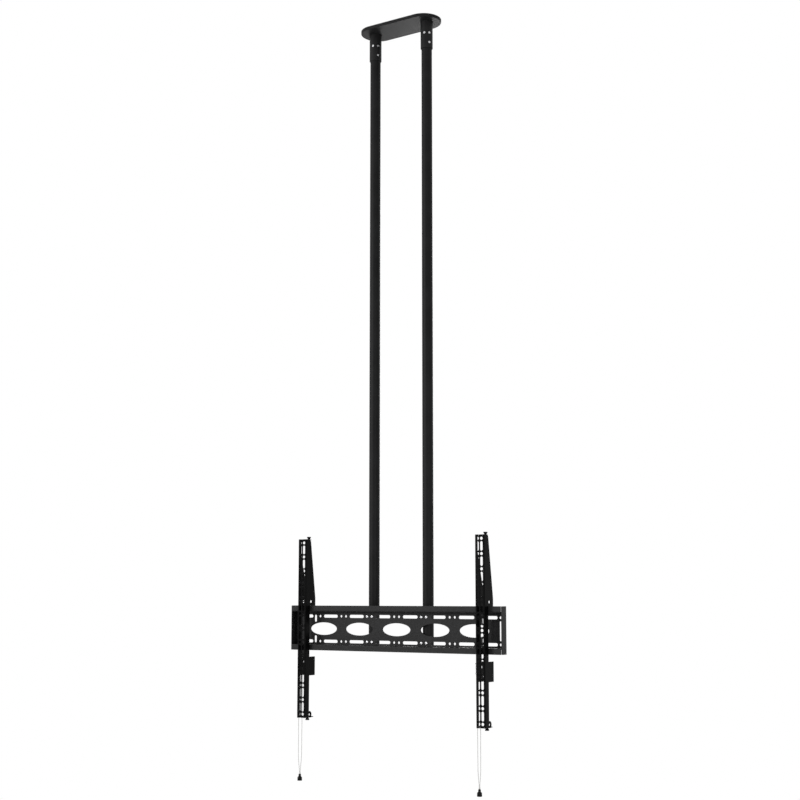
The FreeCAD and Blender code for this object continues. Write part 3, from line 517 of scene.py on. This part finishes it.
def join_meshes(name, meshes):
    """One mesh from several, with their texture maps."""
    pieces = [bpy.data.objects.new(name, mesh) for mesh in meshes]
    for piece in pieces:
        bpy.context.scene.collection.objects.link(piece)
    with bpy.context.temp_override(active_object=pieces[0], selected_editable_objects=pieces):
        bpy.ops.object.join()
    joined = pieces[0].data
    bpy.data.objects.remove(pieces[0])
    return joined


def nurbs_cord(name, points, diameter):
    """A smooth curve that a cord follows, as thick as the cord."""
    curve = bpy.data.curves.new(name, "CURVE")
    curve.dimensions = "3D"
    curve.resolution_u = CORD_STEPS_PER_SPAN
    curve.bevel_depth = diameter / 2
    curve.bevel_resolution = CORD_ROUNDNESS
    curve.use_fill_caps = True
    spline = curve.splines.new("NURBS")
    spline.points.add(len(points) - 1)
    for target, point in zip(spline.points, points):
        target.co = (*point, 1.0)
    spline.order_u = 3
    spline.use_endpoint_u = True
    return curve


def cord_line(side):
    """Where the cord's plane is, and the place of its bobbin."""
    low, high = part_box("cord_bobbin_" + side)
    knot_low, knot_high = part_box("cord_knot_" + side)
    plane = (knot_low.x + knot_high.x) / 2
    return plane, (low.y + high.y) / 2, (low.z + high.z) / 2


def pull_cord(side, material):
    """The looped cord, whose two ends go into its knot."""
    plane, middle, height = cord_line(side)
    top = height + CORD_SEAT_RADIUS
    strand = list(CORD_ENDS)
    strand.append((CORD_SEAT_RADIUS, CORD_STRAIGHT_END))
    strand.append((CORD_SEAT_RADIUS, top - CORD_BEND_POINT_DROP))
    strand.append((CORD_SEAT_RADIUS, top))
    front = [(plane, middle - offset, z) for offset, z in strand]
    rear = [(plane, middle + offset, z) for offset, z in reversed(strand)]
    curve = nurbs_cord("cord_loop_" + side, front + rear, CORD_DIAMETER)
    cord = add_object("cord_loop_" + side, curve, material, body_name("latch", side))
    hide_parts("pull_cord_" + side)


def cord_knot(side, material):
    """The cord's end, wound barrel-shaped round the two strands above the pull, over a rounded core."""
    low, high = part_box("cord_knot_" + side)
    middle = (low + high) / 2
    thick = KNOT_CORD_DIAMETER / 2
    outer = (high.x - low.x) / 2
    lowest = low.z + thick
    rise = high.z - low.z - KNOT_CORD_DIAMETER
    count = int(KNOT_TURNS * KNOT_POINTS_PER_TURN)
    path = []
    for index in range(count + 1):
        share = index / count
        angle = 2 * math.pi * KNOT_TURNS * share
        reach = (outer - thick) * (1.0 - KNOT_BARREL * (2 * share - 1) ** 2)
        path.append(Vector((middle.x + reach * math.cos(angle), middle.y + reach * math.sin(angle),
                            lowest + rise * share)))
    wrap = tube_mesh("knot_wrap", path, [thick] * len(path), KNOT_WRAP_SIDES)
    tall = high.z - low.z
    core_path = [Vector((middle.x, middle.y, low.z + tall * share)) for share in KNOT_CORE_HEIGHTS]
    core_radii = [outer * share for share in KNOT_CORE_WIDTHS]
    core = tube_mesh("knot_core", core_path, core_radii, KNOT_CORE_SIDES)
    mesh = join_meshes("knot_" + side, [wrap, core])
    knot = add_object("knot_" + side, mesh, material, body_name("latch", side))
    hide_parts("cord_knot_" + side)
    return knot


def latch_spring(side, material):
    """A tension spring whose wire goes from a round hook into the coil and out to the other hook."""
    fixed_low, fixed_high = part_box("spring_post_fixed_" + side)
    moving_low, moving_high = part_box("spring_post_moving_" + side)
    low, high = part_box("latch_spring_" + side)
    upper = (fixed_low.z + fixed_high.z) / 2
    lower = (moving_low.z + moving_high.z) / 2
    line = Vector(((low.x + high.x) / 2, (fixed_low.y + fixed_high.y) / 2, 0.0))
    coil_radius = (SPRING_DIAMETER - SPRING_WIRE) / 2
    coil_top = upper - SPRING_HOOK_RADIUS - SPRING_NECK
    coil_bottom = lower + SPRING_HOOK_RADIUS + SPRING_NECK
    path = spring_hook(line, upper, coil_top, coil_radius, 1)
    count = SPRING_TURNS * SPRING_POINTS_PER_TURN
    for index in range(1, count):
        share = index / count
        angle = 2 * math.pi * SPRING_TURNS * share
        path.append(line + Vector((coil_radius * math.cos(angle), coil_radius * math.sin(angle),
                                   coil_top + (coil_bottom - coil_top) * share)))
    path += reversed(spring_hook(line, lower, coil_bottom, coil_radius, -1))
    mesh = tube_mesh("spring_" + side, path, [SPRING_WIRE / 2] * len(path), SPRING_WIRE_SIDES)
    spring = add_object("spring_" + side, mesh, material, None)
    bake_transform(spring)
    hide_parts("latch_spring_" + side)


def spring_hook(line, post_height, coil_end, coil_radius, away):
    """The round hook on a post and the wire's way from it out to the coil, for one end of a spring.

    The coil lies below the upper post, where away is 1, and above the lower one, where it is -1.
    """
    path = []
    count = SPRING_POINTS_PER_TURN
    sweep = 2 * math.pi - SPRING_HOOK_OPENING
    for index in range(count + 1):
        angle = -math.pi / 2 - sweep * (1 - index / count)
        path.append(Vector((line.x, line.y + SPRING_HOOK_RADIUS * math.cos(angle),
                            post_height + away * SPRING_HOOK_RADIUS * math.sin(angle))))
    neck_start = post_height - away * SPRING_HOOK_RADIUS
    neck_count = count // 2
    for index in range(1, neck_count + 1):
        share = index / neck_count
        angle = -math.pi * away * (1 - share)
        reach = coil_radius * math.sin(share * math.pi / 2)
        path.append(Vector((line.x + reach * math.cos(angle), line.y + reach * math.sin(angle),
                            neck_start + (coil_end - neck_start) * share)))
    return path


def weld_bead(name, path, radius, closed):
    """A row of overlapping drops of weld along a path."""
    travelled = 0.0
    radii = []
    for index, point in enumerate(path):
        if index:
            travelled += (point - path[index - 1]).length
        drop = abs(math.sin(math.pi * travelled / WELD_DROP_STEP))
        radii.append(radius * (1.0 - WELD_SWELL + WELD_SWELL * drop))
    return tube_mesh(name, path, radii, WELD_SIDES, closed)


def ceiling_weld(side, material):
    """The bead round a socket where it meets the ceiling plate."""
    low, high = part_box("socket_" + side)
    middle = (low + high) / 2
    reach = (high.x - low.x) / 2
    drops = round(2 * math.pi * reach / WELD_DROP_STEP)
    count = drops * WELD_POINTS_PER_DROP
    path = []
    for index in range(count):
        angle = 2 * math.pi * index / count
        path.append(Vector((middle.x + reach * math.cos(angle),
                            middle.y + reach * math.sin(angle), high.z)))
    mesh = weld_bead("ceiling_weld_" + side, path, PLATE_WELD_RADIUS, True)
    bead = add_object("ceiling_weld_" + side, mesh, material, "frame")


def saddle_welds(side, material):
    """Upright beads where the two saddles of a pole end against its sides."""
    beads = []
    pole_low, pole_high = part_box("pole_" + side)
    middle = (pole_low + pole_high) / 2
    pole_radius = (pole_high.x - pole_low.x) / 2
    for level in ("upper", "lower"):
        low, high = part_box("saddle_%s_%s" % (level, side))
        rear = high.y
        reach = math.sqrt(pole_radius ** 2 - (rear - middle.y) ** 2)
        length = high.z - low.z - 2 * WELD_RADIUS
        count = int(length / WELD_DROP_STEP * WELD_POINTS_PER_DROP)
        for out in (-1, 1):
            beside = middle.x + out * (reach + SADDLE_WELD_OUT)
            path = [Vector((beside, rear, low.z + WELD_RADIUS + length * index / count))
                    for index in range(count + 1)]
            beads.append(weld_bead("bead", path, WELD_RADIUS, False))
    mesh = join_meshes("saddle_welds_" + side, beads)
    piece = add_object("saddle_welds_" + side, mesh, material, "frame")


def set_camera():
    """A level-sided view from the right front, turned to the aim point on the mount's middle line."""
    right = Vector((math.cos(CAMERA_AZIMUTH), math.sin(CAMERA_AZIMUTH), 0.0))
    level_back = Vector((math.sin(CAMERA_AZIMUTH), -math.cos(CAMERA_AZIMUTH), 0.0))
    back = level_back * math.cos(CAMERA_PITCH) - Vector((0.0, 0.0, math.sin(CAMERA_PITCH)))
    up = back.cross(right)
    aim = right * CAMERA_AIM_ALONG + Vector((0.0, 0.0, CAMERA_AIM_HEIGHT))
    data = bpy.data.cameras.new("camera")
    data.sensor_width = CAMERA_SENSOR
    data.lens = CAMERA_LENS
    data.clip_end = CAMERA_REACH
    camera = bpy.data.objects.new("camera", data)
    bpy.context.scene.collection.objects.link(camera)
    turn = Matrix((right, up, back)).transposed().to_4x4()
    camera.matrix_world = Matrix.Translation(aim + back * CAMERA_DISTANCE) @ turn
    bpy.context.scene.camera = camera


def set_world():
    world = bpy.data.worlds.new("studio")
    bpy.context.scene.world = world
    world.use_nodes = True
    nodes = Nodes(world.node_tree)
    white = (1.0, 1.0, 1.0, 1.0)
    lit = nodes.node("ShaderNodeBackground", {}, {"Color": white, "Strength": ROOM_LIGHT})
    seen = nodes.node("ShaderNodeBackground", {}, {"Color": white, "Strength": BACKGROUND_WHITE})
    sockets = {0: nodes.seen_directly(), 1: lit.outputs[0], 2: seen.outputs[0]}
    mix = nodes.node("ShaderNodeMixShader", {}, sockets)
    nodes.node("ShaderNodeOutputWorld", {}, {"Surface": mix.outputs[0]})


def area_light(name, place, size, power):
    """A soft rectangular lamp, turned to the middle of the mount."""
    data = bpy.data.lights.new(name, "AREA")
    data.shape = "RECTANGLE"
    data.size = size[0]
    data.size_y = size[1]
    data.energy = power
    light = bpy.data.objects.new(name, data)
    bpy.context.scene.collection.objects.link(light)
    place = Vector(place)
    turn = (Vector(LAMP_AIM) - place).to_track_quat("-Z", "Y").to_matrix().to_4x4()
    light.matrix_world = Matrix.Translation(place) @ turn


def floor_finish():
    """A pale floor that shows white, apart from the mount's soft shadow near its middle.

    Seen from below it is clear, so that views from there show the mount.
    """
    material = bpy.data.materials.new("pale floor")
    material.use_nodes = True
    nodes = Nodes(material.node_tree)
    diffuse = nodes.node("ShaderNodeBsdfDiffuse", {}, {"Color": grey(FLOOR_GREY)})
    flat = nodes.stretched((1.0, 1.0, 0.0))
    distance = nodes.node("ShaderNodeVectorMath", {"operation": "LENGTH"}, {0: flat}).outputs["Value"]
    far = Value(nodes, distance).rise(FLOOR_SHADOW_NEAR, FLOOR_SHADOW_FAR)
    glow_share = nodes.seen_directly() * (far * FLOOR_SHADOW_SHARE + (1.0 - FLOOR_SHADOW_SHARE))
    sockets = {0: glow_share, 1: diffuse.outputs[0], 2: nodes.white_glow(BACKGROUND_WHITE)}
    floor_shader = nodes.node("ShaderNodeMixShader", {}, sockets)
    underside = nodes.node("ShaderNodeNewGeometry", {}, {}).outputs["Backfacing"]
    clear = nodes.node("ShaderNodeBsdfTransparent", {}, {})
    sockets = {0: underside, 1: floor_shader.outputs[0], 2: clear.outputs[0]}
    mix = nodes.node("ShaderNodeMixShader", {}, sockets)
    nodes.node("ShaderNodeOutputMaterial", {}, {"Surface": mix.outputs[0]})
    return material


def set_floor():
    """A wide floor well below the mount."""
    level = cad_box[0][2] - FLOOR_BELOW
    mesh = bpy.data.meshes.new("floor")
    half = FLOOR_HALF
    corners = [(-half, -half, level), (half, -half, level), (half, half, level), (-half, half, level)]
    mesh.from_pydata(corners, [], [(0, 1, 2, 3)])
    mesh.materials.append(floor_finish())
    floor = bpy.data.objects.new("floor", mesh)
    bpy.context.scene.collection.objects.link(floor)


def main():
    bpy.context.scene.view_settings.view_transform = "Standard"
    materials = finishes()
    dress_cad_nodes(materials)
    set_camera()
    for side in SIDES:
        knot = cord_knot(side, materials["knot_fibre"])
        pull_cord(side, materials["cord_fibre"])
        latch_spring(side, materials["spring_steel"])
        ceiling_weld(side, materials["plate_paint"])
        saddle_welds(side, materials["pole_paint"])
    set_world()
    for lamp in LAMPS:
        area_light(*lamp)
    set_floor()


main()
